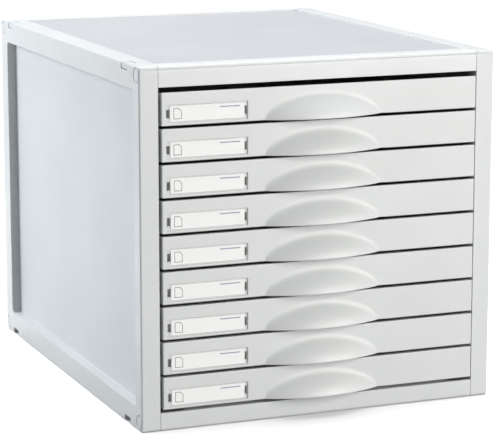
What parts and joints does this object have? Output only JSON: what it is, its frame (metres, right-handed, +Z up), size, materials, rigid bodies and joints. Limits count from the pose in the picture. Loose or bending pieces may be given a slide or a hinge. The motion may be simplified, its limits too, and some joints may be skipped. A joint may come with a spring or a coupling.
{
  "type": "flat file cabinet",
  "caption": "Desk-top cabinet of shallow paper drawers with arched handle scoops and label windows, sliding in moulded side panels.",
  "frame": {"origin": "middle of the footprint, handles included, on the surface the cabinet stands on", "axes": "+Z up; the drawers face and slide towards -Y; +X is to the right seen from the front"},
  "size_m": [0.322, 0.415, 0.305],
  "materials": {
    "case_plastic": "light grey moulded plastic, fine satin grain",
    "top_plastic": "light grey moulded plastic, fine texture in the sunk field",
    "peg_plastic": "light grey moulded plastic, satin",
    "front_plastic": "light grey moulded plastic, fine satin grain",
    "tray_plastic": "light grey moulded plastic",
    "clear_plastic": "clear moulded plastic",
    "card": "plain white card"
  },
  "bodies": {
    "cabinet": {"left_side_panel": "case_plastic", "right_side_panel": "case_plastic", "top_panel": "top_plastic", "bottom_panel": "case_plastic", "back_panel": "case_plastic", "corner_peg_left_front_top": "peg_plastic", "corner_peg_left_front_bottom": "peg_plastic", "corner_peg_left_rear_top": "peg_plastic", "corner_peg_left_rear_bottom": "peg_plastic", "slot_cover_left_front": "peg_plastic", "slot_cover_left_rear": "peg_plastic", "corner_peg_right_front_top": "peg_plastic", "corner_peg_right_front_bottom": "peg_plastic", "corner_peg_right_rear_top": "peg_plastic", "corner_peg_right_rear_bottom": "peg_plastic", "slot_cover_right_front": "peg_plastic", "slot_cover_right_rear": "peg_plastic"},
    "drawer_1": {"drawer_front_1": "front_plastic", "drawer_tray_1": "tray_plastic", "label_window_1": "clear_plastic", "label_card_1": "card"},
    "drawer_2": {"drawer_front_2": "front_plastic", "drawer_tray_2": "tray_plastic", "label_window_2": "clear_plastic", "label_card_2": "card"},
    "drawer_3": {"drawer_front_3": "front_plastic", "drawer_tray_3": "tray_plastic", "label_window_3": "clear_plastic", "label_card_3": "card"},
    "drawer_4": {"drawer_front_4": "front_plastic", "drawer_tray_4": "tray_plastic", "label_window_4": "clear_plastic", "label_card_4": "card"},
    "drawer_5": {"drawer_front_5": "front_plastic", "drawer_tray_5": "tray_plastic", "label_window_5": "clear_plastic", "label_card_5": "card"},
    "drawer_6": {"drawer_front_6": "front_plastic", "drawer_tray_6": "tray_plastic", "label_window_6": "clear_plastic", "label_card_6": "card"},
    "drawer_7": {"drawer_front_7": "front_plastic", "drawer_tray_7": "tray_plastic", "label_window_7": "clear_plastic", "label_card_7": "card"},
    "drawer_8": {"drawer_front_8": "front_plastic", "drawer_tray_8": "tray_plastic", "label_window_8": "clear_plastic", "label_card_8": "card"},
    "drawer_9": {"drawer_front_9": "front_plastic", "drawer_tray_9": "tray_plastic", "label_window_9": "clear_plastic", "label_card_9": "card"}
  },
  "joints": [
    {"name": "drawer_1_slide", "type": "slide", "parent": "cabinet", "child": "drawer_1", "axis": [0, -1, 0], "range_m": [0, 0.25]},
    {"name": "drawer_2_slide", "type": "slide", "parent": "cabinet", "child": "drawer_2", "axis": [0, -1, 0], "range_m": [0, 0.25]},
    {"name": "drawer_3_slide", "type": "slide", "parent": "cabinet", "child": "drawer_3", "axis": [0, -1, 0], "range_m": [0, 0.25]},
    {"name": "drawer_4_slide", "type": "slide", "parent": "cabinet", "child": "drawer_4", "axis": [0, -1, 0], "range_m": [0, 0.25]},
    {"name": "drawer_5_slide", "type": "slide", "parent": "cabinet", "child": "drawer_5", "axis": [0, -1, 0], "range_m": [0, 0.25]},
    {"name": "drawer_6_slide", "type": "slide", "parent": "cabinet", "child": "drawer_6", "axis": [0, -1, 0], "range_m": [0, 0.25]},
    {"name": "drawer_7_slide", "type": "slide", "parent": "cabinet", "child": "drawer_7", "axis": [0, -1, 0], "range_m": [0, 0.25]},
    {"name": "drawer_8_slide", "type": "slide", "parent": "cabinet", "child": "drawer_8", "axis": [0, -1, 0], "range_m": [0, 0.25]},
    {"name": "drawer_9_slide", "type": "slide", "parent": "cabinet", "child": "drawer_9", "axis": [0, -1, 0], "range_m": [0, 0.25]}
  ]
}
